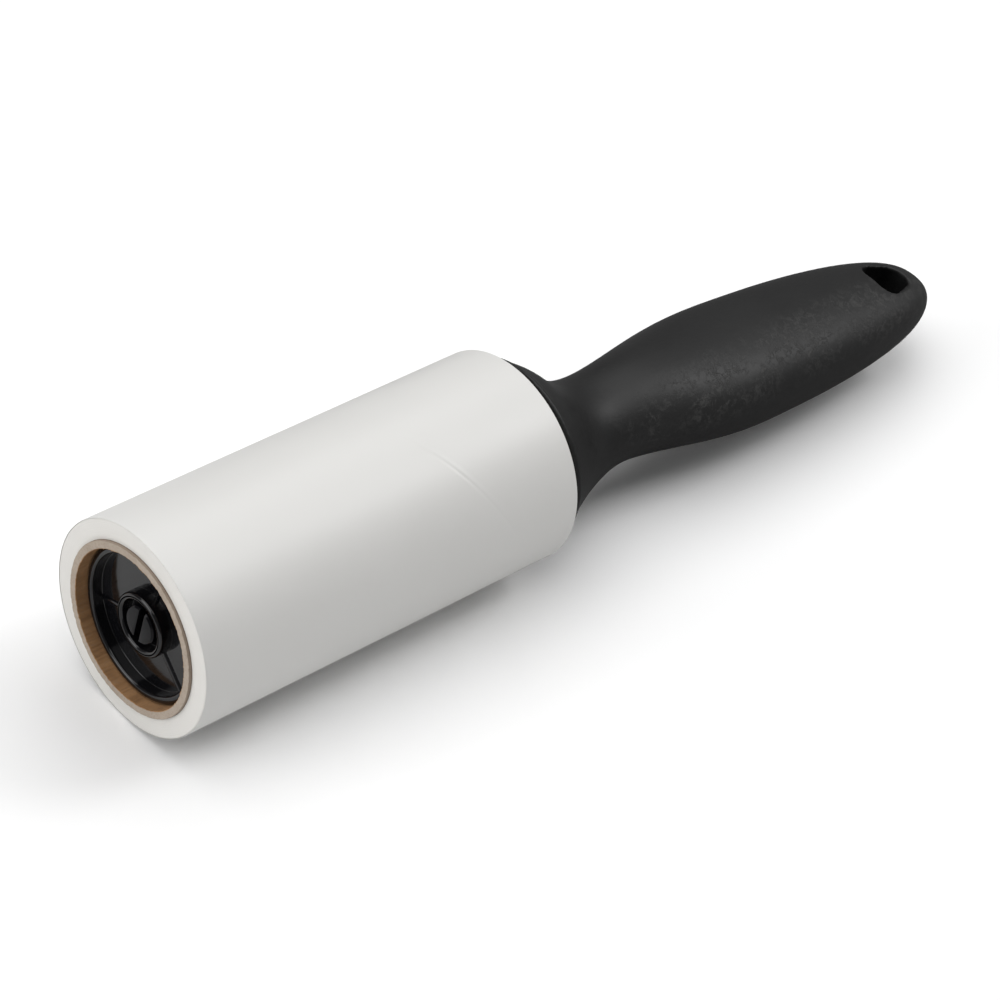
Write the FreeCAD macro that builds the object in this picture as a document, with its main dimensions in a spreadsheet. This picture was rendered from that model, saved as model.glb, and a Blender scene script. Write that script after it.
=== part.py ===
import FreeCAD, Part
import math
import os

import Sketcher
from FreeCAD import Placement, Rotation, Vector

# Adhesive lint roller. X runs along the roll's axis from the roll's free end to the handle's
# tip, +Z is up, and the roll lies on Z = 0 with the handle's droop pointing down. Every length
# along X is counted from the front face of the paper; placing the finished pieces, at the end,
# puts the origin at the middle of the whole object's footprint.

doc = FreeCAD.newDocument("lint_roller")
sheet = doc.addObject("Spreadsheet::Sheet", "Sizes")

SIZES = [
    # refill: wound adhesive sheets on a cardboard tube
    ("roll_length", 101.6),
    ("roll_radius", 24.3),
    ("sheet_thickness", 0.12),
    ("sheet_seam", 0.7),
    ("sheet_seam_turn", -150.0),
    ("tube_bore_radius", 17.8),
    ("tube_wall", 1.8),
    ("tube_stand_out", 0.8),
    # spool: turns on the axle and carries the refill
    ("refill_clearance", 0.1),
    ("ridge_count", 6),
    ("ridge_height", 0.3),
    ("ridge_width", 2.4),
    ("ridge_inset", 5.0),
    ("spool_wall", 1.6),
    ("spool_front", 1.9),
    ("rim_rounding", 0.6),
    ("web_recess", 2.8),
    ("web_thickness", 2.0),
    ("web_rib_count", 3),
    ("web_rib_width", 1.2),
    ("web_rib_height", 0.45),
    ("web_rib_bite", 0.4),
    ("web_rib_turn", 9.0),
    ("boss_radius", 7.3),
    ("boss_wall", 1.6),
    ("boss_height", 3.0),
    ("boss_rounding", 0.6),
    ("sleeve_length", 10.0),
    ("collar_height", 1.2),
    ("collar_thickness", 1.0),
    ("collar_gap", 0.1),
    # core: axle with a split snap end, rear journal, and the bar that stiffens the handle
    ("axle_radius", 3.7),
    ("running_clearance", 0.06),
    ("snap_catch", 0.7),
    ("snap_length", 2.7),
    ("snap_chamfer", 0.4),
    ("snap_gap", 0.12),
    ("split_width", 1.7),
    ("split_length", 17.0),
    ("split_turn", 4.0),
    ("fin_width", 2.4),
    ("fin_radius", 8.0),
    ("fin_gap", 0.6),
    ("journal_length", 7.0),
    ("journal_inset", 1.5),
    ("stem_radius", 5.5),
    ("stem_reach", 30.0),
    ("bar_width", 14.0),
    ("bar_height", 7.0),
    ("bar_lap", 5.0),
    ("bar_tip_distance", 33.0),
    # handle: outer moulding over the core
    ("flange_gap", 0.4),
    ("flange_bevel", 0.5),
    ("handle_length", 134.7),
    ("tip_drop", 9.8),
    ("tip_fullness", 0.03),
    ("eye_tip_wall", 6.8),
    ("eye_length", 11.0),
    ("eye_half_width", 5.4),
    ("eye_corner_radius", 2.9),
    ("eye_apex_radius", 4.0),
]

# Cross-sections of the handle up to its belly: name, place along the handle as a fraction of
# its length, half width, half height, drop of the centre below the roll's axis, and fullness
# of the oval, where 0 is an ellipse.
SECTION_FIELDS = ("place", "half_width", "half_height", "drop", "fullness")
SECTIONS = [
    ("rim", 0.0059, 22.2, 22.2, 0.0, 0.0),
    ("flare", 0.0193, 20.8, 20.8, 0.25, 0.0),
    ("waist", 0.0453, 18.75, 18.75, 0.6, 0.0),
    ("root", 0.075, 16.5, 16.5, 2.0, 0.0),
    ("throat", 0.112, 14.0, 14.0, 3.5, 0.0),
    ("neck", 0.186, 11.7, 10.7, 3.0, 0.0),
    ("grip", 0.253, 12.2, 11.1, 2.9, 0.0),
    ("swell", 0.35, 14.8, 11.6, 3.9, 0.0),
    ("belly", 0.476, 16.55, 11.6, 5.3, 0.02),
]
SECTION_POINTS = 16

# Behind the belly the handle closes like a quarter ellipse, taken in even turns.
TAIL_STEPS = 8
TAIL_SWEEP = math.radians(87)
TAIL_WIDTH_POWER = 0.74
TAIL_HEIGHT_POWER = 0.7

for section in SECTIONS:
    for field, value in zip(SECTION_FIELDS, section[1:]):
        SIZES.append((section[0] + "_" + field, value))
for row, (name, value) in enumerate(SIZES, 1):
    sheet.set("A%d" % row, name)
    sheet.set("B%d" % row, str(value))
    sheet.setAlias("B%d" % row, name)
doc.recompute()


def formula(text):
    """Sheet expression, from text in which $ marks the name of a size."""
    return text.replace("$", "Sizes.")


def value_of(text):
    """The number that such a text gives now."""
    return float(sheet.evalExpression(formula(text)))


# Places along X that several pieces share.
WEB_FRONT = "($spool_front + $web_recess)"
WEB_BACK = "(%s + $web_thickness)" % WEB_FRONT
BOSS_FRONT = "(%s - $boss_height)" % WEB_FRONT
SLEEVE_END = "(%s + $sleeve_length)" % WEB_BACK
SNAP_BACK = "(%s - $snap_gap)" % WEB_FRONT
SNAP_FRONT = "(%s - $snap_length)" % SNAP_BACK
FINS_START = "(%s + $fin_gap)" % SLEEVE_END
TUBE_BACK = "($roll_length + $tube_stand_out)"
COLLAR_FRONT = "(%s + $collar_gap)" % TUBE_BACK
COLLAR_BACK = "(%s + $collar_thickness)" % COLLAR_FRONT
JOURNAL_END = "(%s - $journal_inset)" % COLLAR_BACK
JOURNAL_START = "(%s - $journal_length)" % JOURNAL_END
FLANGE_FRONT = "(%s + $flange_gap)" % COLLAR_BACK
STEM_END = "(%s + $stem_reach)" % FLANGE_FRONT
HANDLE_TIP = "(%s + $handle_length)" % FLANGE_FRONT

# Radii that several pieces share.
TUBE_RADIUS = "($tube_bore_radius + $tube_wall)"
WOUND_RADIUS = "($roll_radius - $sheet_thickness)"
RIDGE_RADIUS = "($tube_bore_radius - $refill_clearance)"
SPOOL_RADIUS = "(%s - $ridge_height)" % RIDGE_RADIUS
SPOOL_BORE = "(%s - $spool_wall)" % SPOOL_RADIUS
JOURNAL_RADIUS = "(%s - $running_clearance)" % SPOOL_BORE
BEARING_BORE = "($axle_radius + $running_clearance)"
BOSS_BORE = "($boss_radius - $boss_wall)"
COLLAR_RADIUS = "($tube_bore_radius + $collar_height)"
SNAP_RADIUS = "($axle_radius + $snap_catch)"

ALONG_X = Rotation(Vector(0, 1, 0), 90)


def bind(thing, path, text):
    thing.setExpression(path, formula(text))


def round_bar(kind, name, start, end, radii):
    """Cylinder or cone on the roll's axis between two places along X."""
    solid = doc.addObject(kind, name)
    solid.Placement = Placement(Vector(), ALONG_X)
    for path, radius in radii.items():
        bind(solid, path, radius)
    bind(solid, "Height", "(%s) - (%s)" % (end, start))
    bind(solid, ".Placement.Base.x", start)
    return solid


def cylinder(name, radius, start, end):
    return round_bar("Part::Cylinder", name, start, end, {"Radius": radius})


def cone(name, start_radius, end_radius, start, end):
    return round_bar("Part::Cone", name, start, end,
                     {"Radius1": start_radius, "Radius2": end_radius})


def block(name, start, end, width, height):
    """Box centred on the roll's axis between two places along X."""
    solid = doc.addObject("Part::Box", name)
    for path, text in (("Length", "(%s) - (%s)" % (end, start)), ("Width", width),
                       ("Height", height),
                       (".Placement.Base.x", start), (".Placement.Base.y", "-%s / 2" % width),
                       (".Placement.Base.z", "-%s / 2" % height)):
        bind(solid, path, text)
    return solid


def fuse(name, pieces):
    joined = doc.addObject("Part::MultiFuse", name)
    joined.Shapes = pieces
    joined.Refine = True
    return joined


def cut(name, base, tool):
    rest = doc.addObject("Part::Cut", name)
    rest.Base = base
    rest.Tool = tool
    rest.Refine = True
    return rest


def outline(sketch, points):
    """Closed straight-sided outline whose corners are each held by two sheet formulas."""
    corners = [Vector(value_of(across), value_of(up), 0) for across, up in points]
    count = len(corners)
    for i in range(count):
        sketch.addGeometry(Part.LineSegment(corners[i], corners[(i + 1) % count]), False)
    for i in range(count):
        sketch.addConstraint(Sketcher.Constraint("Coincident", i, 2, (i + 1) % count, 1))
    for i, (across, up) in enumerate(points):
        for kind, text in (("DistanceX", across), ("DistanceY", up)):
            held = Sketcher.Constraint(kind, -1, 1, i, 1, value_of(text))
            bind(sketch, "Constraints[%d]" % sketch.addConstraint(held), text)


def origin_feature(body, role):
    return next(f for f in body.Origin.OriginFeatures if f.Role == role)


def body_sketch(body, name, points):
    """Sketch of an outline in the body's XZ plane: along the axis, and out from it."""
    sketch = body.newObject("Sketcher::SketchObject", name)
    sketch.AttachmentSupport = [(origin_feature(body, "XZ_Plane"), "")]
    sketch.MapMode = "FlatFace"
    outline(sketch, points)
    return sketch


def fins(body, name, points, width, count):
    """Flat fin standing in the XZ plane, repeated evenly around the roll's axis."""
    pad = body.newObject("PartDesign::Pad", name)
    pad.Profile = body_sketch(body, name + "_outline", points)
    pad.SideType = "Symmetric"
    bind(pad, "Length", width)
    around = body.newObject("PartDesign::PolarPattern", name + "_pattern")
    around.Originals = [pad]
    around.Axis = (origin_feature(body, "X_Axis"), [""])
    around.Angle = 360
    bind(around, "Occurrences", count)
    body.Tip = around
    return around


def circles_at(shape, place, radius):
    """Names of the round edges of one radius that lie in one plane across X."""
    found = []
    for number, edge in enumerate(shape.Edges, 1):
        curve = edge.Curve
        if isinstance(curve, Part.Circle) and abs(curve.Radius - radius) < 1e-4:
            if abs(curve.Center.x - place) < 1e-4:
                found.append("Edge%d" % number)
    return found


def round_over(body, name, radius, rings):
    """Fillet the rings, given as (place along X, radius) formulas, of the body's tip."""
    doc.recompute()
    base = body.Tip
    edges = []
    for place, ring in rings:
        edges += circles_at(base.Shape, value_of(place), value_of(ring))
    if len(edges) < len(rings):
        raise RuntimeError("%s finds %d of %d rings" % (name, len(edges), len(rings)))
    fillet = body.newObject("PartDesign::Fillet", name)
    fillet.Base = (base, edges)
    bind(fillet, "Radius", radius)
    body.Tip = fillet


def make_refill():
    """Cardboard tube, the wound sheets on it, and the outermost sheet with its torn seam."""
    tube = cut("refill_tube",
               cylinder("tube_outside", TUBE_RADIUS, "-$tube_stand_out", TUBE_BACK),
               cylinder("tube_bore", "$tube_bore_radius", "-$tube_stand_out - 1",
                        TUBE_BACK + " + 1"))
    wound = cut("sheet_roll",
                cylinder("wound_outside", WOUND_RADIUS, "0", "$roll_length"),
                cylinder("wound_inside", TUBE_RADIUS, "-1", "$roll_length + 1"))
    ring = cut("outer_sheet_ring",
               cylinder("outer_sheet_outside", "$roll_radius", "0", "$roll_length"),
               cylinder("outer_sheet_inside", WOUND_RADIUS, "-1", "$roll_length + 1"))
    slot = block("seam_slot", "-1", "$roll_length + 1", "$sheet_seam", "($roll_radius + 1)")
    bind(slot, ".Placement.Base.z", "0")
    outer = cut("outer_sheet", ring, turned_about_axis("seam", slot, "$sheet_seam_turn"))
    return tube, wound, outer


def make_spool():
    body = doc.addObject("PartDesign::Body", "spool")
    turned = body.newObject("PartDesign::Revolution", "spool_turned")
    turned.Profile = body_sketch(body, "spool_outline", [
        (WEB_FRONT, BEARING_BORE), (WEB_FRONT, BOSS_BORE), (BOSS_FRONT, BOSS_BORE),
        (BOSS_FRONT, "$boss_radius"), (WEB_FRONT, "$boss_radius"), (WEB_FRONT, SPOOL_BORE),
        ("$spool_front", SPOOL_BORE), ("$spool_front", SPOOL_RADIUS),
        (COLLAR_FRONT, SPOOL_RADIUS), (COLLAR_FRONT, COLLAR_RADIUS),
        (COLLAR_BACK, COLLAR_RADIUS), (COLLAR_BACK, SPOOL_BORE), (WEB_BACK, SPOOL_BORE),
        (WEB_BACK, "$boss_radius"), (SLEEVE_END, "$boss_radius"), (SLEEVE_END, BEARING_BORE)])
    turned.ReferenceAxis = (origin_feature(body, "X_Axis"), [""])
    turned.Angle = 360
    body.Tip = turned
    round_over(body, "rim_rounding_fillet", "$rim_rounding",
               [("$spool_front", SPOOL_RADIUS), ("$spool_front", SPOOL_BORE)])
    round_over(body, "boss_rounding_fillet", "$boss_rounding",
               [(BOSS_FRONT, "$boss_radius"), (BOSS_FRONT, BOSS_BORE)])
    rib_front = "(%s - $web_rib_height)" % WEB_FRONT
    rib_in = "($boss_radius - $web_rib_bite)"
    rib_out = "(%s + $web_rib_bite)" % SPOOL_BORE
    rib_back = "(%s + $web_rib_bite)" % WEB_FRONT
    fins(body, "web_rib", [(rib_front, rib_in), (rib_back, rib_in), (rib_back, rib_out),
                           (rib_front, rib_out)], "$web_rib_width", "$web_rib_count")
    ridge_start = "($spool_front + $ridge_inset)"
    ridge_end = "(%s - $ridge_inset)" % COLLAR_FRONT
    ridge_root = "(%s - $ridge_height)" % SPOOL_RADIUS
    fins(body, "ridge", [(ridge_start, ridge_root), (ridge_end, ridge_root),
                         (ridge_end, RIDGE_RADIUS), (ridge_start, RIDGE_RADIUS)],
         "$ridge_width", "$ridge_count")
    return body


def make_core(stem, bar):
    """One hard moulding: snap end, axle, cross fins, rear journal, stem and handle bar."""
    head_shoulder = "(%s + $snap_chamfer)" % SNAP_FRONT
    whole = fuse("core_whole", [
        cone("snap_nose", SNAP_RADIUS + " - $snap_chamfer", SNAP_RADIUS, SNAP_FRONT,
             head_shoulder),
        cylinder("snap_head", SNAP_RADIUS, head_shoulder, SNAP_BACK),
        cylinder("axle_rod", "$axle_radius", SNAP_BACK, JOURNAL_START),
        block("fin_flat", FINS_START, JOURNAL_START, "($fin_radius * 2)", "$fin_width"),
        block("fin_upright", FINS_START, JOURNAL_START, "$fin_width", "($fin_radius * 2)"),
        cylinder("journal", JOURNAL_RADIUS, JOURNAL_START, JOURNAL_END),
        stem,
        bar,
    ])
    split = block("split", SNAP_FRONT + " - 1", SNAP_FRONT + " + $split_length",
                  "$split_width", "(%s * 2 + 2)" % SNAP_RADIUS)
    return cut("axle_core", whole, turned_about_axis("split_slot", split, "$split_turn"))


def turned_about_axis(name, piece, angle):
    """The piece on its own in a union that is turned about the roll's axis."""
    turned = doc.addObject("Part::Compound", name)
    turned.Links = [piece]
    turned.Placement = Placement(Vector(), Rotation(Vector(1, 0, 0), value_of(angle)))
    bind(turned, ".Placement.Rotation.Angle", angle)
    return turned


def make_bar():
    """Flat bar that starts on the stem's end and follows the droop of the handle."""
    start = "(%s - $bar_lap)" % STEM_END
    end = "(%s - $bar_tip_distance)" % HANDLE_TIP
    tail_share = "(1 - $bar_tip_distance / ((1 - $belly_place) * $handle_length))"
    end_drop = "($belly_drop + ($tip_drop - $belly_drop) * %s)" % tail_share
    sketch = doc.addObject("Sketcher::SketchObject", "bar_outline")
    sketch.Placement = Placement(Vector(), Rotation(Vector(1, 0, 0), 90))
    outline(sketch, [(start, "-$neck_drop - $bar_height / 2"),
                     (end, "-%s - $bar_height / 2" % end_drop),
                     (end, "-%s + $bar_height / 2" % end_drop),
                     (start, "-$neck_drop + $bar_height / 2")])
    bar = doc.addObject("Part::Extrusion", "handle_bar")
    bar.Base = sketch
    bar.DirMode = "Normal"
    bar.Solid = True
    bar.Symmetric = True
    bind(bar, "LengthFwd", "$bar_width")
    return bar


def oval(place, half_width, half_height, drop, fullness):
    """Closed smooth curve across X about a centre below the roll's axis."""
    points = []
    for i in range(SECTION_POINTS):
        turn = 2 * math.pi * i / SECTION_POINTS
        across = (math.cos(turn) - fullness * math.cos(3 * turn)) / (1 - fullness)
        up = (math.sin(turn) + fullness * math.sin(3 * turn)) / (1 - fullness)
        points.append(Vector(place, half_width * across, half_height * up - drop))
    curve = Part.BSplineCurve()
    curve.interpolate(Points=points, PeriodicFlag=True)
    return Part.Wire([curve.toShape()])


def handle_sections():
    """The named sections, then the tail's."""
    front = value_of(FLANGE_FRONT)
    length = value_of("$handle_length")
    sections = []
    for name, *_ in SECTIONS:
        place, *oval_sizes = (value_of("$%s_%s" % (name, field)) for field in SECTION_FIELDS)
        sections.append((front + place * length, *oval_sizes))
    belly, half_width, half_height, drop, fullness = sections[-1]
    tail_length = front + length - belly
    more_drop = value_of("$tip_drop") - drop
    more_fullness = value_of("$tip_fullness") - fullness
    for step in range(1, TAIL_STEPS + 1):
        turn = TAIL_SWEEP * step / TAIL_STEPS
        along = math.sin(turn)
        left = math.cos(turn)
        sections.append((belly + tail_length * along, half_width * left ** TAIL_WIDTH_POWER,
                         half_height * left ** TAIL_HEIGHT_POWER, drop + more_drop * along,
                         fullness + more_fullness * along))
    return sections


def make_handle_form():
    """Outer form of the handle: bevelled lip, trumpet flare, neck, belly and rounded tip."""
    sections = handle_sections()
    front = value_of(FLANGE_FRONT)
    bevel = value_of("$flange_bevel")
    rim = sections[0]
    lip = Part.makeLoft([oval(front, rim[1] - bevel, rim[2] - bevel, *rim[3:]),
                         oval(front + bevel, *rim[1:]), oval(*rim)], True, True)
    grip = Part.makeLoft([oval(*section) for section in sections], True, False)
    form = doc.addObject("Part::Feature", "handle_form")
    form.Shape = lip.fuse(grip)
    return form


def tangent_points(centre_a, radius_a, centre_b, radius_b, side):
    """Where the straight line that touches two circles on one side of them meets each."""
    along = centre_b - centre_a
    lean = math.acos((radius_a - radius_b) / along.Length)
    turn = math.atan2(along.y, along.x) + side * lean
    normal = Vector(math.cos(turn), math.sin(turn), 0)
    return centre_a + normal * radius_a, centre_b + normal * radius_b


def make_eye():
    """Cutter for the hanging hole: a rounded triangle with its flat side towards the roll."""
    corner = value_of("$eye_corner_radius")
    apex = value_of("$eye_apex_radius")
    half_width = value_of("$eye_half_width")
    end = value_of(HANDLE_TIP + " - $eye_tip_wall")
    start = end - value_of("$eye_length")
    reach = 2 * value_of("$roll_radius")
    left = Vector(start + corner, half_width - corner, 0)
    right = Vector(start + corner, corner - half_width, 0)
    nose = Vector(end - apex, 0, 0)
    left_corner, left_nose = tangent_points(left, corner, nose, apex, 1)
    right_corner, right_nose = tangent_points(right, corner, nose, apex, -1)
    bisector = Vector(-1, 1, 0).normalize() * corner
    mirrored = Vector(bisector.x, -bisector.y, 0)
    edges = [
        Part.LineSegment(left_corner, left_nose),
        Part.Arc(left_nose, nose + Vector(apex, 0, 0), right_nose),
        Part.LineSegment(right_nose, right_corner),
        Part.Arc(right_corner, right + mirrored, Vector(start, right.y, 0)),
        Part.LineSegment(Vector(start, right.y, 0), Vector(start, left.y, 0)),
        Part.Arc(Vector(start, left.y, 0), left + bisector, left_corner),
    ]
    face = Part.Face(Part.Wire([edge.toShape() for edge in edges]))
    face.translate(Vector(0, 0, -reach))
    cutter = doc.addObject("Part::Feature", "eye_cutter")
    cutter.Shape = face.extrude(Vector(0, 0, 2 * reach))
    return cutter


def place(piece, turn="0"):
    """Move a finished piece from the roll's axis to the resting frame."""
    piece.Placement = Placement(Vector(), Rotation(Vector(1, 0, 0), value_of(turn)))
    bind(piece, ".Placement.Base.x", "-(%s - $tube_stand_out) / 2" % HANDLE_TIP)
    bind(piece, ".Placement.Base.z", "$roll_radius")
    if turn != "0":
        bind(piece, ".Placement.Rotation.Angle", turn)


tube, wound, outer = make_refill()
spool = make_spool()
stem = cylinder("handle_stem", "$stem_radius", JOURNAL_END, STEM_END)
bar = make_bar()
core = make_core(stem, bar)
handle = cut("handle_grip", make_handle_form(), fuse("handle_hollows", [stem, bar, make_eye()]))
doc.recompute()

pieces = {"handle_grip": handle, "axle_core": core, "spool": spool, "refill_tube": tube,
          "sheet_roll": wound, "outer_sheet": outer}
for name, piece in pieces.items():
    piece.Label = name
    place(piece, "$web_rib_turn" if piece is spool else "0")
doc.recompute()

for thing in doc.Objects:
    if "Invalid" in thing.State or "Error" in thing.State:
        raise RuntimeError("%s did not rebuild: %s" % (thing.Label, thing.State))
os.makedirs("parts", exist_ok=True)
for name, piece in pieces.items():
    shape = piece.Shape
    if shape.isNull() or not shape.isValid() or len(shape.Solids) != 1:
        raise RuntimeError("%s is not one valid solid" % name)
    box = shape.BoundBox
    print("%-12s %8.1f mm3  x %.2f..%.2f  y %.2f..%.2f  z %.2f..%.2f" % (
        name, shape.Volume, box.XMin, box.XMax, box.YMin, box.YMax, box.ZMin, box.ZMax))
    shape.exportStep("parts/%s.step" % name)
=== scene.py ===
import math

import bmesh
import bpy
import numpy as np
from mathutils import Matrix, Vector


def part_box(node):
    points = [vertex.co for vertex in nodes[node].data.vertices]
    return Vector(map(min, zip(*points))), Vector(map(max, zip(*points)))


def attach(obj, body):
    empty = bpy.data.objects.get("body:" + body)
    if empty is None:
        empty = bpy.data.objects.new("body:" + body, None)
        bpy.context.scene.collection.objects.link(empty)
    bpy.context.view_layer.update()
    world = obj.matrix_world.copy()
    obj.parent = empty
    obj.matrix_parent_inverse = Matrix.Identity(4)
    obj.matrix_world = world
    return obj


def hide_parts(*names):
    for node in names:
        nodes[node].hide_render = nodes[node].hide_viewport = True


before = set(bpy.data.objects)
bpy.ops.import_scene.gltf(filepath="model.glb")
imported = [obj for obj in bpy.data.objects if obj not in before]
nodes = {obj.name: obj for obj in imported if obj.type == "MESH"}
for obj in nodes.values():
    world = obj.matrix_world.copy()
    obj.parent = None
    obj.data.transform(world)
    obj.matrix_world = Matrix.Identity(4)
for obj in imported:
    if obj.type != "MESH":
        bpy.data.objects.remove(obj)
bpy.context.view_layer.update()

scene = bpy.context.scene

# ---------------------------------------------------------------- sizes, in metres
# The roll's axis runs along X, and its open front end is the one at low x.
mm = 0.001

ROLL_R = 0.0243
AXIS_Z = ROLL_R
SHEET = 0.12 * mm
WOUND_R = ROLL_R - SHEET
wound_low, wound_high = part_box("sheet_roll")
ROLL_FRONT, ROLL_BACK = wound_low.x, wound_high.x

tube_low, tube_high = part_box("refill_tube")
TUBE_FRONT, TUBE_BACK, TUBE_R = tube_low.x, tube_high.x, tube_high.y
TUBE_WALL = 1.8 * mm
BORE_R = TUBE_R - TUBE_WALL

spool_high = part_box("spool")[1]
SPOOL_BACK, COLLAR_R = spool_high.x, spool_high.y
RIM_FRONT = ROLL_FRONT + 1.9 * mm
BOSS_FRONT = ROLL_FRONT + 1.7 * mm
WEB_FRONT = ROLL_FRONT + 4.7 * mm
WEB_BACK = WEB_FRONT + 2.0 * mm
DRUM_R = 17.4 * mm
DRUM_BORE_R = 15.8 * mm
BOSS_R = 7.3 * mm
BOSS_BORE_R = 5.7 * mm
AXLE_BORE_R = 3.76 * mm
SLEEVE = 10 * mm
COLLAR = 1 * mm

EYE_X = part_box("handle_grip")[1].x - 12.6 * mm

# ---------------------------------------------------------------- camera
CAMERA_PLACE = (-0.51192, -0.40769, 0.58893)
RIGHT = Vector((0.7375, -0.6523, 0.1748)).normalized()
FORWARD = Vector((0.5749, 0.4706, -0.6693)).normalized()


def add_camera():
    data = bpy.data.cameras.new("camera")
    data.sensor_width = 36.0
    data.lens = 141.18
    data.clip_start = 0.05
    data.clip_end = 50.0
    camera = bpy.data.objects.new("camera", data)
    up = RIGHT.cross(FORWARD).normalized()
    turn = Matrix((RIGHT, up, -FORWARD)).transposed()
    camera.matrix_world = Matrix.Translation(CAMERA_PLACE) @ turn.to_4x4()
    scene.collection.objects.link(camera)
    scene.camera = camera


add_camera()


# ---------------------------------------------------------------- materials
class Nodes:
    """A material's node tree, built by short calls."""

    def __init__(self, name):
        self.material = bpy.data.materials.new(name)
        self.material.use_nodes = True
        self.tree = self.material.node_tree
        self.shader = self.tree.nodes["Principled BSDF"]
        self.place = self.add("ShaderNodeTexCoord").outputs["Object"]

    def add(self, kind, **settings):
        node = self.tree.nodes.new(kind)
        for key, value in settings.items():
            setattr(node, key, value)
        return node

    def link(self, start, end):
        self.tree.links.new(start, end)

    def feed(self, socket, value):
        """Links a socket, or sets a plain value."""
        if isinstance(value, bpy.types.NodeSocket):
            self.link(value, socket)
        else:
            socket.default_value = value

    def feed_color(self, socket, value):
        self.feed(socket, value if isinstance(value, bpy.types.NodeSocket) else (*value, 1.0))

    def scaled(self, scale):
        """The place, stretched by a factor for each axis."""
        node = self.add("ShaderNodeMapping")
        self.link(self.place, node.inputs["Vector"])
        node.inputs["Scale"].default_value = scale
        return node.outputs["Vector"]

    def noise(self, scale, detail, rough, at=None, distortion=0.0):
        """Cloudy noise with about scale cells to the metre."""
        node = self.add("ShaderNodeTexNoise")
        self.link(at or self.place, node.inputs["Vector"])
        node.inputs["Scale"].default_value = scale
        node.inputs["Detail"].default_value = detail
        node.inputs["Roughness"].default_value = rough
        node.inputs["Distortion"].default_value = distortion
        return node.outputs["Fac"]

    def math(self, operation, a, b=0.0):
        node = self.add("ShaderNodeMath", operation=operation)
        self.feed(node.inputs[0], a)
        self.feed(node.inputs[1], b)
        return node.outputs[0]

    def hypot(self, a, b):
        return self.math("SQRT", self.math("ADD", self.math("MULTIPLY", a, a), self.math("MULTIPLY", b, b)))

    def ramp(self, value, low, high, to_low=0.0, to_high=1.0, smooth=True):
        """Maps low to high onto to_low to to_high, eased at both ends or in a straight line."""
        kind = "SMOOTHSTEP" if smooth else "LINEAR"
        node = self.add("ShaderNodeMapRange", interpolation_type=kind)
        self.feed(node.inputs["Value"], value)
        node.inputs["From Min"].default_value = low
        node.inputs["From Max"].default_value = high
        node.inputs["To Min"].default_value = to_low
        node.inputs["To Max"].default_value = to_high
        return node.outputs["Result"]

    def mix(self, share, a, b):
        """Colour a where share is 0, colour b where it is 1."""
        node = self.add("ShaderNodeMix", data_type="RGBA")
        self.feed(node.inputs[0], share)
        self.feed_color(node.inputs[6], a)
        self.feed_color(node.inputs[7], b)
        return node.outputs[2]

    def bump(self, height, distance, strength, under=None):
        node = self.add("ShaderNodeBump")
        node.inputs["Strength"].default_value = strength
        node.inputs["Distance"].default_value = distance
        self.link(height, node.inputs["Height"])
        if under is not None:
            self.link(under, node.inputs["Normal"])
        return node.outputs["Normal"]

    def split(self):
        """The place's x, y and z."""
        node = self.add("ShaderNodeSeparateXYZ")
        self.link(self.place, node.inputs[0])
        return node.outputs

    def axis_radius(self):
        """Distance from the roll's axis."""
        x, y, z = self.split()
        return self.hypot(y, self.math("SUBTRACT", z, AXIS_Z))

    def output(self, color, roughness, normal=None, **values):
        self.feed(self.shader.inputs["Base Color"], color)
        self.feed(self.shader.inputs["Roughness"], roughness)
        if normal is not None:
            self.link(normal, self.shader.inputs["Normal"])
        for key, value in values.items():
            self.shader.inputs[key.replace("_", " ")].default_value = value
        return self.material


# The line along the grip's shoulder that a hand rubs: its start and end.
SHOULDER_X = (12 * mm, 100 * mm)
SHOULDER_Y = (-11.5 * mm, -7.5 * mm)
SHOULDER_Z = (27.5 * mm, 24.5 * mm)


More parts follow.
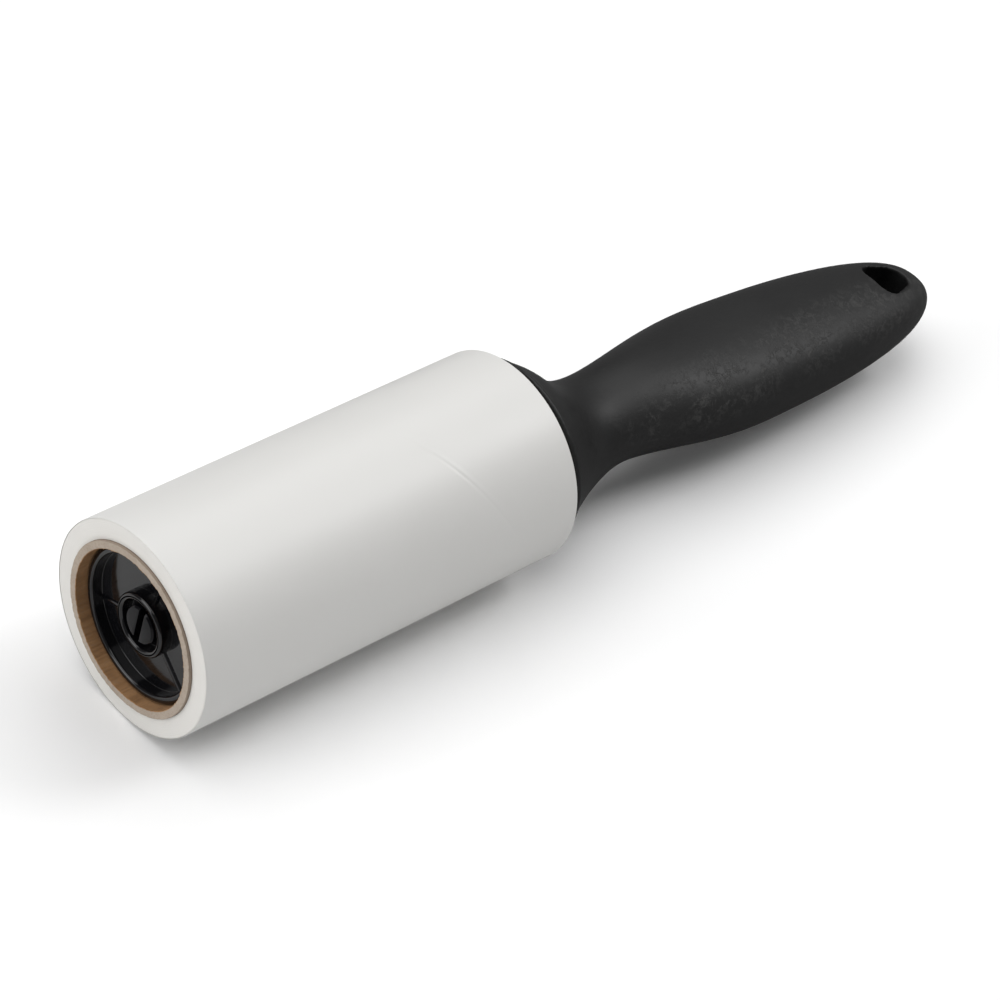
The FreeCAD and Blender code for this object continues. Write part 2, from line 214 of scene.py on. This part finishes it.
def grip_material():
    """Matte moulded plastic: fine spark-eroded grain, rubbed and flecked along the shoulder, with painted
    shade inside the eye.
    """
    black, black_patch = (0.0075, 0.0075, 0.0077), (0.0125, 0.0125, 0.0125)
    # The last of these colours is painted shade for the inside of the eye, not the plastic's own colour.
    rubbed_black, scuff_grey, eye_shade_black = (0.022, 0.022, 0.022), (0.07, 0.069, 0.067), (0.001, 0.001, 0.001)
    m = Nodes("grip_black")
    grain = m.noise(2600.0, 3.0, 0.6)
    pores = m.noise(900.0, 4.0, 0.65)
    wide = m.noise(38.0, 4.0, 0.6)
    x, y, z = m.split()

    off_y = m.math("SUBTRACT", y, m.ramp(x, *SHOULDER_X, *SHOULDER_Y, smooth=False))
    off_z = m.math("SUBTRACT", z, m.ramp(x, *SHOULDER_X, *SHOULDER_Z, smooth=False))
    beside = m.ramp(m.hypot(off_y, off_z), 10.5 * mm, 1.5 * mm)
    shoulder = m.math("MULTIPLY", beside, m.ramp(x, 6 * mm, 20 * mm))
    # Painted shade: inside the eye the colour goes nearly black, standing in for the shadow deep in the
    # hole.
    eye_shade = m.ramp(m.hypot(m.math("SUBTRACT", x, EYE_X), y), 6.2 * mm, 5.2 * mm)

    flecks = m.ramp(m.noise(560.0, 7.0, 0.76, distortion=0.8), 0.47, 0.62)
    rubbed = m.ramp(m.noise(95.0, 5.0, 0.65), 0.32, 0.56)
    wear = m.math("MULTIPLY", shoulder, m.math("MULTIPLY", flecks, rubbed))
    stray = m.ramp(m.noise(210.0, 7.0, 0.75, distortion=0.6), 0.64, 0.75, 0.0, 0.35)
    scuffs = m.math("MAXIMUM", wear, stray)

    plain = m.mix(wide, black, black_patch)
    hazy = m.mix(m.math("MULTIPLY", shoulder, 0.45), plain, rubbed_black)
    worn = m.mix(m.math("MULTIPLY", scuffs, 0.5), hazy, scuff_grey)
    color = m.mix(eye_shade, worn, eye_shade_black)
    rough = m.math("ADD", m.ramp(wide, 0.3, 0.7, 0.45, 0.53), m.math("MULTIPLY", scuffs, 0.12))
    relief = m.bump(scuffs, 0.12 * mm, 0.5)
    pitted = m.bump(pores, 0.08 * mm, 0.45, under=relief)
    return m.output(color, rough, m.bump(grain, 0.03 * mm, 0.3, under=pitted), Specular_IOR_Level=0.36)


def gloss_material(name, tint, roughness, specular=0.5):
    """Glossy moulded plastic with a little dust on it."""
    dust_grey = (0.06, 0.06, 0.058)
    m = Nodes(name)
    wide = m.noise(60.0, 3.0, 0.5)
    dust = m.ramp(m.noise(420.0, 6.0, 0.7), 0.6, 0.8)
    color = m.mix(m.math("MULTIPLY", dust, 0.3), tint, dust_grey)
    clean = m.ramp(wide, 0.3, 0.7, roughness, roughness + 0.06)
    rough = m.math("ADD", clean, m.math("MULTIPLY", dust, 0.12))
    normal = m.bump(m.noise(180.0, 2.0, 0.4), 0.08 * mm, 0.12)
    return m.output(color, rough, normal, Specular_IOR_Level=specular)


def cardboard_material():
    """Pale fibres on the sawn end, browner inside the bore, with painted shade along its outer edge and
    where the paper meets it.
    """
    m = Nodes("cardboard")
    fibre = m.noise(1.0, 5.0, 0.7, at=m.scaled((1500.0, 2200.0, 2200.0)))
    blotch = m.noise(160.0, 4.0, 0.6)
    radius = m.axis_radius()
    cut_face = m.mix(blotch, (0.34, 0.275, 0.22), (0.47, 0.4, 0.33))
    wall = m.mix(blotch, (0.19, 0.09, 0.033), (0.45, 0.25, 0.11))
    inside = m.math("SUBTRACT", 1.0, m.ramp(radius, BORE_R, BORE_R + 0.25 * mm))
    # Painted shade: a thin dark line round the tube's outermost edge, and a dark band where the paper's
    # front meets the tube, standing in for the shadow in the gap between them.
    edge = m.ramp(radius, TUBE_R - 0.16 * mm, TUBE_R - 0.03 * mm, 0.0, 0.4)
    joint = m.ramp(m.split()[0], ROLL_FRONT - 0.25 * mm, ROLL_FRONT - 0.05 * mm)
    gap_shade = m.math("MULTIPLY", m.ramp(radius, TUBE_R - 0.4 * mm, TUBE_R - 0.1 * mm), joint)
    dark = m.math("MAXIMUM", edge, m.math("MULTIPLY", gap_shade, 0.85))
    board = m.mix(dark, m.mix(inside, cut_face, wall), (0.1, 0.06, 0.035))
    color = m.mix(m.ramp(fibre, 0.45, 0.8, 0.0, 0.5), board, (0.2, 0.14, 0.09))
    return m.output(color, 0.92, m.bump(fibre, 0.06 * mm, 0.35))


def wound_material():
    """Cut paper: thin rings of slightly different shades, each about as wide as a layer or two."""
    m = Nodes("wound_paper")
    rings = m.add("ShaderNodeTexNoise", noise_dimensions="1D")
    m.link(m.math("MULTIPLY", m.axis_radius(), 5200.0), rings.inputs["W"])
    rings.inputs["Scale"].default_value = 1.0
    rings.inputs["Detail"].default_value = 3.0
    layers = rings.outputs["Fac"]
    color = m.mix(layers, (0.7, 0.685, 0.65), (0.79, 0.775, 0.745))
    return m.output(color, 0.75, m.bump(layers, 0.03 * mm, 0.25))


def sheet_material():
    """Satin coated paper."""
    m = Nodes("sheet_white")
    wide = m.noise(22.0, 4.0, 0.6)
    fine = m.noise(1500.0, 3.0, 0.6)
    color = m.mix(wide, (0.655, 0.65, 0.632), (0.69, 0.684, 0.666))
    rough = m.ramp(wide, 0.3, 0.7, 0.34, 0.42)
    return m.output(color, rough, m.bump(fine, 0.02 * mm, 0.3))


def floor_material():
    """Plain pale floor. Mirror rays see it darker, from the roll's front to under the handle."""
    m = Nodes("floor_paper")
    beside = m.ramp(m.split()[0], -0.1, 0.05, 0.7, 0.2)
    mirrored = m.add("ShaderNodeLightPath").outputs["Is Glossy Ray"]
    shade = m.math("SUBTRACT", 1.0, m.math("MULTIPLY", mirrored, m.math("SUBTRACT", 1.0, beside)))
    return m.output(m.mix(shade, (0.0, 0.0, 0.0), (0.95, 0.95, 0.95)), 0.8)


# ---------------------------------------------------------------- outlines and meshes
def rounded(corners, steps):
    """Outline through corners (x, r, rounding), each one with a rounding turned into an arc."""
    line = []
    for i, (x, r, rounding) in enumerate(corners):
        here = Vector((x, r))
        if rounding == 0:
            line.append(here)
            continue
        before = (Vector(corners[i - 1][:2]) - here).normalized()
        after = (Vector(corners[(i + 1) % len(corners)][:2]) - here).normalized()
        half = before.angle(after) / 2
        reach = rounding / math.tan(half)
        centre = here + (before + after).normalized() * (rounding / math.sin(half))
        first = here + before * reach - centre
        last = here + after * reach - centre
        line.append(here + before * reach * 1.25)
        for k in range(steps + 1):
            line.append(centre + first.slerp(last, k / steps) * rounding)
        line.append(here + after * reach * 1.25)
    return [tuple(point) for point in line]


def filled(line, step):
    """The closed outline with points added so that none are further apart than step."""
    out = []
    for (x, r), (x2, r2) in zip(line, line[1:] + line[:1]):
        parts = max(1, math.ceil(math.hypot(x2 - x, r2 - r) / step))
        for k in range(parts):
            out.append((x + (x2 - x) * k / parts, r + (r2 - r) * k / parts))
    return out


def wave(angles, seed, count, low, high):
    """Smooth noise round the axis: a few whole-number waves with fixed random phases."""
    random = np.random.default_rng(seed)
    total = np.zeros_like(angles)
    for _ in range(count):
        total += np.sin(angles * random.integers(low, high) + random.uniform(0, 2 * np.pi))
    return total / math.sqrt(count)


def near(distance, reach):
    """1 at no distance or less, falling evenly to 0 at reach."""
    return np.clip((reach - distance) / reach, 0, 1)


def round_axis(x, r, a):
    """Points at x along the roll's axis, r from it and at the angle a round it."""
    return np.stack([x, r * np.cos(a), r * np.sin(a) + AXIS_Z], axis=-1).reshape(-1, 3)


def shade_smooth(mesh, sharp_degrees=None):
    mesh.polygons.foreach_set("use_smooth", [True] * len(mesh.polygons))
    if sharp_degrees is not None:
        mesh.set_sharp_from_angle(angle=math.radians(sharp_degrees))


def new_piece(name, mesh):
    piece = bpy.data.objects.new(name, mesh)
    scene.collection.objects.link(piece)
    return piece


def mesh_piece(name, points, faces):
    mesh = bpy.data.meshes.new(name)
    mesh.from_pydata(points, [], faces)
    mesh.validate()
    outward = bmesh.new()
    outward.from_mesh(mesh)
    bmesh.ops.recalc_face_normals(outward, faces=outward.faces)
    outward.to_mesh(mesh)
    outward.free()
    shade_smooth(mesh, sharp_degrees=50)
    return new_piece(name, mesh)


def revolve(name, line, segments, shape):
    """Closed outline turned about the roll's axis, its points then moved by shape(x, r, angle)."""
    x, r = (np.repeat(values, segments).reshape(len(line), segments) for values in zip(*line))
    a = np.tile(np.arange(segments) * 2 * np.pi / segments, (len(line), 1))
    x, r = shape(x, r, a)
    number = np.arange(x.size).reshape(x.shape)
    after = np.roll(number, -1, axis=0)
    quads = np.stack([number, after, np.roll(after, -1, axis=1), np.roll(number, -1, axis=1)], axis=-1)
    return mesh_piece(name, round_axis(x, r, a).tolist(), quads.reshape(-1, 4).tolist())


def copied(name, node):
    return new_piece(name, nodes[node].data.copy())


def applied(piece):
    graph = bpy.context.evaluated_depsgraph_get()
    mesh = bpy.data.meshes.new_from_object(piece.evaluated_get(graph))
    piece.modifiers.clear()
    piece.data = mesh


def finish_piece(piece, body, node, material):
    piece.data.materials.clear()
    piece.data.materials.append(material)
    if node:
        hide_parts(node)
    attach(piece, body)


# ---------------------------------------------------------------- cardboard tube
def frayed(x, r, a):
    """The sawn front edge: small teeth and a slow unevenness in it, and a fringe round the bore."""
    front = near(x - TUBE_FRONT, 0.5 * mm)
    bore = near(r - BORE_R, 0.6 * mm)
    teeth = 0.5 + 0.5 * wave(a, 11, 9, 25, 110)
    uneven = 1 + wave(a, 12, 4, 2, 9)
    x = x + front * (0.1 * mm * np.clip(teeth, 0, 1.4) + 0.05 * mm * uneven)
    fringe = wave(a, 13, 12, 40, 160) + 0.8 * wave(a, 14, 5, 8, 30)
    r = r - front * bore * 0.1 * mm * np.clip(fringe, -0.6, 1.8)
    return np.maximum(x, TUBE_FRONT), r


def tube_piece():
    section = rounded([(TUBE_FRONT, BORE_R, 0.15 * mm), (TUBE_FRONT, TUBE_R, 0.2 * mm),
                       (TUBE_BACK, TUBE_R, 0.2 * mm), (TUBE_BACK, BORE_R, 0.2 * mm)], 4)
    return revolve("cardboard_tube", filled(section, 6 * mm), 720, frayed)


finish_piece(tube_piece(), "refill", "refill_tube", cardboard_material())


# ---------------------------------------------------------------- wound sheets
def layered(x, r, a):
    """The cut ends of the layers lie a little in and out of line."""
    layer = np.round((r - TUBE_R) / SHEET)
    steps = np.random.default_rng(5).uniform(0, 1, 64)
    step = steps[np.clip(layer, 0, len(steps) - 1).astype(int)]
    front = near(x - ROLL_FRONT, 0.3 * mm)
    back = near(ROLL_BACK - x, 0.3 * mm)
    depth = 0.02 * mm * step + 0.012 * mm * (1 + wave(a, 21, 3, 1, 5))
    return x + (front - back) * np.clip(depth, 0, 0.2 * mm), r


def wound_outline():
    """The ring's section, with a point for each layer on its two flat ends."""
    inside, outside, rounding = TUBE_R + 0.03 * mm, WOUND_R - 0.01 * mm, 0.35 * mm
    section = rounded([(ROLL_FRONT, inside, 0), (ROLL_FRONT, outside, rounding),
                       (ROLL_BACK, outside, rounding), (ROLL_BACK, inside, 0)], 6)
    line = []
    for (x, r), (x2, r2) in zip(section, section[1:] + section[:1]):
        line.append((x, r))
        if abs(x - x2) < 1e-9 and abs(r - r2) > 1 * mm:
            layers = int(abs(r - r2) / SHEET)
            line += [(x, r + (r2 - r) * k / layers) for k in range(1, layers)]
    return line


wound = revolve("wound_sheets", wound_outline(), 384, layered)
finish_piece(wound, "refill", "sheet_roll", wound_material())

# ---------------------------------------------------------------- outermost sheet
# The seam where the sheet's two ends meet, on the roll's far side.
SEAM = math.radians(-150)
SEAM_HALF = 0.35 * mm / ROLL_R

# The crease is straight on the flat sheet. It is at CREASE_X, in mm, where the angle is CREASE_TOP
# degrees, and moves along the roll by CREASE_SLANT mm a degree. It fades in and out at the two ends.
# The sheet's points are close together between FINE_FROM and FINE_TO, so that the crease is sharp.
CREASE_X, CREASE_TOP, CREASE_SLANT = -51.4, 103.2, 0.251
CREASE_FROM, CREASE_TO = 95, 178
FADE_IN, FADE_OUT = 14, 65
FURROW_DEPTH, FURROW_HALF = 0.105, 0.36
SLACK_DEPTH, SLACK_START, SLACK_LENGTH = 0.075, 1.6, 9
DEEPEST = 0.115
FINE_FROM, FINE_TO = -54 * mm, -30 * mm


def creased(x, r, a):
    """Radius of the dented skin: the crease, the slack paper beside it, soft waves, a pressed front edge."""
    outer = np.clip((r - WOUND_R) / (ROLL_R - WOUND_R), 0, 1)
    degrees = np.degrees(a) % 360
    away = x / mm - (CREASE_X + CREASE_SLANT * (degrees - CREASE_TOP))
    strength = (np.clip((degrees - CREASE_FROM) / FADE_IN, 0, 1)
                * np.clip((CREASE_TO - degrees) / FADE_OUT, 0, 1))
    furrow = FURROW_DEPTH * np.exp(-(away / FURROW_HALF) ** 2)
    slack = np.clip(away / SLACK_START, 0, 1) * np.exp(-np.clip(away - SLACK_START, 0, None) / SLACK_LENGTH)
    dip = strength * np.maximum(furrow, SLACK_DEPTH * slack)
    soft = 0.008 * (1 + wave(a, 31, 4, 2, 7)) * (0.6 + 0.4 * np.sin(x / mm * 0.11 + 3 * np.sin(a)))
    pressed = 0.11 * near(x - ROLL_FRONT, 0.5 * mm) ** 2
    return r - outer * np.clip(dip + soft + pressed, 0.0, DEEPEST) * mm


def sheet_stations():
    """Places along the roll, close together where the crease is."""
    stretches = [(ROLL_FRONT, 6), (ROLL_FRONT + 0.6 * mm, 24), (FINE_FROM, 150), (FINE_TO, 8)]
    ends = [start for start, _ in stretches[1:]] + [ROLL_BACK]
    runs = [np.linspace(start, end, count, endpoint=False) for (start, count), end in zip(stretches, ends)]
    return np.concatenate(runs + [[ROLL_BACK]])


def sheet_piece():
    """Thin closed sheet from one side of the seam round to the other: two skins joined at the borders."""
    turns = SEAM + SEAM_HALF + np.linspace(0, 2 * np.pi - 2 * SEAM_HALF, 330)
    x, a = np.meshgrid(sheet_stations(), turns, indexing="ij")
    points = np.concatenate([round_axis(x, creased(x, np.full_like(x, radius), a), a)
                             for radius in (ROLL_R, WOUND_R)])
    number = np.arange(x.size).reshape(x.shape)
    corners = [number[:-1, :-1], number[:-1, 1:], number[1:, 1:], number[1:, :-1]]
    outside = np.stack(corners, axis=-1).reshape(-1, 4)
    faces = [outside, outside[:, ::-1] + x.size]
    for border in (number[0], number[-1], number[:, 0], number[:, -1]):
        start, end = border[:-1], border[1:]
        faces.append(np.stack([start, end, end + x.size, start + x.size], axis=-1))
    return mesh_piece("outer_wrap", points.tolist(), np.concatenate(faces).tolist())


finish_piece(sheet_piece(), "refill", "outer_sheet", sheet_material())

# ---------------------------------------------------------------- spool
RIDGES = 6
RIDGE_HALF = 1.2 * mm
RIDGE_HEIGHT = 0.3 * mm
RIDGE_EASE = 0.25 * mm
RIDGE_RUN_OUT = 1 * mm
RIDGES_FRONT = RIM_FRONT + 5 * mm
RIDGES_BACK = SPOOL_BACK - 6.1 * mm


def ridged(x, r, a):
    """Raises the ridges that grip the tube, along the drum's outside."""
    start = np.clip((x - RIDGES_FRONT) / RIDGE_RUN_OUT, 0, 1)
    end = np.clip((RIDGES_BACK - x) / RIDGE_RUN_OUT, 0, 1)
    outside = np.abs(r - DRUM_R) < 0.1 * mm
    pitch = 2 * np.pi / RIDGES
    turn = (a + pitch / 2) % pitch - pitch / 2
    crown = np.clip((RIDGE_HALF - np.abs(turn) * DRUM_R) / RIDGE_EASE, 0, 1)
    return x, r + RIDGE_HEIGHT * start * end * outside * crown * crown * (3 - 2 * crown)


def spool_outline():
    """The drum's section: rim, web and boss in front, collar and sleeve behind."""
    rim, boss, back = 0.62 * mm, 0.76 * mm, 0.2 * mm
    return filled(rounded([
        (WEB_FRONT, AXLE_BORE_R, 0.15 * mm), (WEB_FRONT, BOSS_BORE_R, 0.25 * mm),
        (BOSS_FRONT, BOSS_BORE_R, boss), (BOSS_FRONT, BOSS_R, boss),
        (WEB_FRONT, BOSS_R, 0.06 * mm), (WEB_FRONT, DRUM_BORE_R, 0.16 * mm),
        (RIM_FRONT, DRUM_BORE_R, rim), (RIM_FRONT, DRUM_R, rim),
        (SPOOL_BACK - COLLAR, DRUM_R, 0), (SPOOL_BACK - COLLAR, COLLAR_R, back),
        (SPOOL_BACK, COLLAR_R, back), (SPOOL_BACK, DRUM_BORE_R, back),
        (WEB_BACK, DRUM_BORE_R, 0.3 * mm), (WEB_BACK, BOSS_R, 0.3 * mm),
        (WEB_BACK + SLEEVE, BOSS_R, back), (WEB_BACK + SLEEVE, AXLE_BORE_R, back)], 6), 4 * mm)


spool_black = gloss_material("spool_black", (0.004, 0.004, 0.005), 0.07)
shell = revolve("spool_shell", spool_outline(), 360, ridged)
finish_piece(shell, "spool", "spool", spool_black)

RIB_HALF = 0.6 * mm
RIB_HEIGHT = 0.45 * mm
RIB_FOOT = 0.3 * mm
RIB_BITE = 0.2 * mm
RIB_DEGREES = (-21, 99, -141)


def rib_section():
    """(across, up) points round a rib: a rounded top on a foot that is sunk into the web."""
    top = [(-RIB_HALF * math.cos(t), RIB_HEIGHT * math.sin(t) ** 0.7)
           for t in np.linspace(0.12, math.pi - 0.12, 13)]
    flare = RIB_HALF * 1.25
    return [(-flare, 0.0)] + top + [(flare, 0.0), (flare, -RIB_FOOT), (-flare, -RIB_FOOT)]


def rib_piece(name, turn):
    """Low rib from the boss to the rim, standing on the web."""
    section = rib_section()
    along = np.linspace(BOSS_R, DRUM_BORE_R - 0.1 * mm, 24)
    stations = np.concatenate([[BOSS_R - RIB_BITE], along, [DRUM_BORE_R + 0.05 * mm]])
    points, faces = [], []
    for radius in stations:
        for across, up in section:
            points.append((WEB_FRONT - up, radius * math.cos(turn) - across * math.sin(turn),
                           radius * math.sin(turn) + across * math.cos(turn) + AXIS_Z))
    n = len(section)
    for i in range(len(stations) - 1):
        for j in range(n):
            k = (j + 1) % n
            faces.append((i * n + j, i * n + k, (i + 1) * n + k, (i + 1) * n + j))
    faces += [tuple(range(n)), tuple(range(len(points) - n, len(points)))]
    return mesh_piece(name, points, faces)


for number, degrees in enumerate(RIB_DEGREES, 1):
    rib = rib_piece("web_rib_%d" % number, math.radians(degrees))
    finish_piece(rib, "spool", None, spool_black)


# ---------------------------------------------------------------- axle
def axle_piece():
    """The axle with its split snap end, its edges eased."""
    piece = copied("snap_axle", "axle_core")
    work = bmesh.new()
    work.from_mesh(piece.data)
    bmesh.ops.remove_doubles(work, verts=work.verts, dist=1e-6)
    bmesh.ops.dissolve_limit(work, angle_limit=math.radians(1.0), verts=work.verts, edges=work.edges)
    work.to_mesh(piece.data)
    work.free()
    ease = piece.modifiers.new("ease", "BEVEL")
    ease.width = 0.36 * mm
    ease.segments = 4
    ease.limit_method = "ANGLE"
    ease.angle_limit = math.radians(30)
    applied(piece)
    shade_smooth(piece.data, sharp_degrees=35)
    return piece


core_black = gloss_material("core_black", (0.003, 0.003, 0.004), 0.16, 0.15)
finish_piece(axle_piece(), "handle", "axle_core", core_black)


# ---------------------------------------------------------------- grip
def grip_piece():
    """The soft outer moulding, with its eye and flange edges rounded over."""
    piece = copied("grip_body", "handle_grip")
    even = piece.modifiers.new("even", "REMESH")
    even.mode = "VOXEL"
    even.voxel_size = 0.4 * mm
    soften = piece.modifiers.new("soften", "SMOOTH")
    soften.factor = 0.5
    soften.iterations = 14
    applied(piece)
    shade_smooth(piece.data)
    return piece


finish_piece(grip_piece(), "handle", "handle_grip", grip_material())


# ---------------------------------------------------------------- floor and light
def floor_piece():
    half = 4
    mesh = bpy.data.meshes.new("floor")
    corners = [(-half, -half, 0), (half, -half, 0), (half, half, 0), (-half, half, 0)]
    mesh.from_pydata(corners, [], [(0, 1, 2, 3)])
    mesh.materials.append(floor_material())
    return new_piece("floor", mesh)


def add_world():
    world = bpy.data.worlds.new("studio")
    world.use_nodes = True
    background = world.node_tree.nodes["Background"]
    background.inputs["Color"].default_value = (1.0, 1.0, 1.0, 1.0)
    background.inputs["Strength"].default_value = 0.17
    scene.world = world


def soft_light(name, place, target, size, power):
    """A rectangular lamp that faces its target, with its size in metres and its power in watts."""
    data = bpy.data.lights.new(name, "AREA")
    data.shape = "RECTANGLE"
    data.size, data.size_y = size
    data.energy = power
    light = bpy.data.objects.new(name, data)
    light.location = place
    light.rotation_euler = (Vector(target) - Vector(place)).to_track_quat("-Z", "Y").to_euler()
    scene.collection.objects.link(light)


floor = floor_piece()
add_world()
soft_light("top_light", (0.0, 0.3, 1.6), (0, 0, 0), (2.6, 2.2), 31.0)
soft_light("side_light", (1.32, -0.5, 1.3), (0, 0, 0), (0.8, 0.8), 9.6)
soft_light("end_light", (-1.5, 0.5, 0.7), (-0.1, 0, 0), (1.0, 1.0), 9.0)

scene.view_settings.view_transform = "Standard"
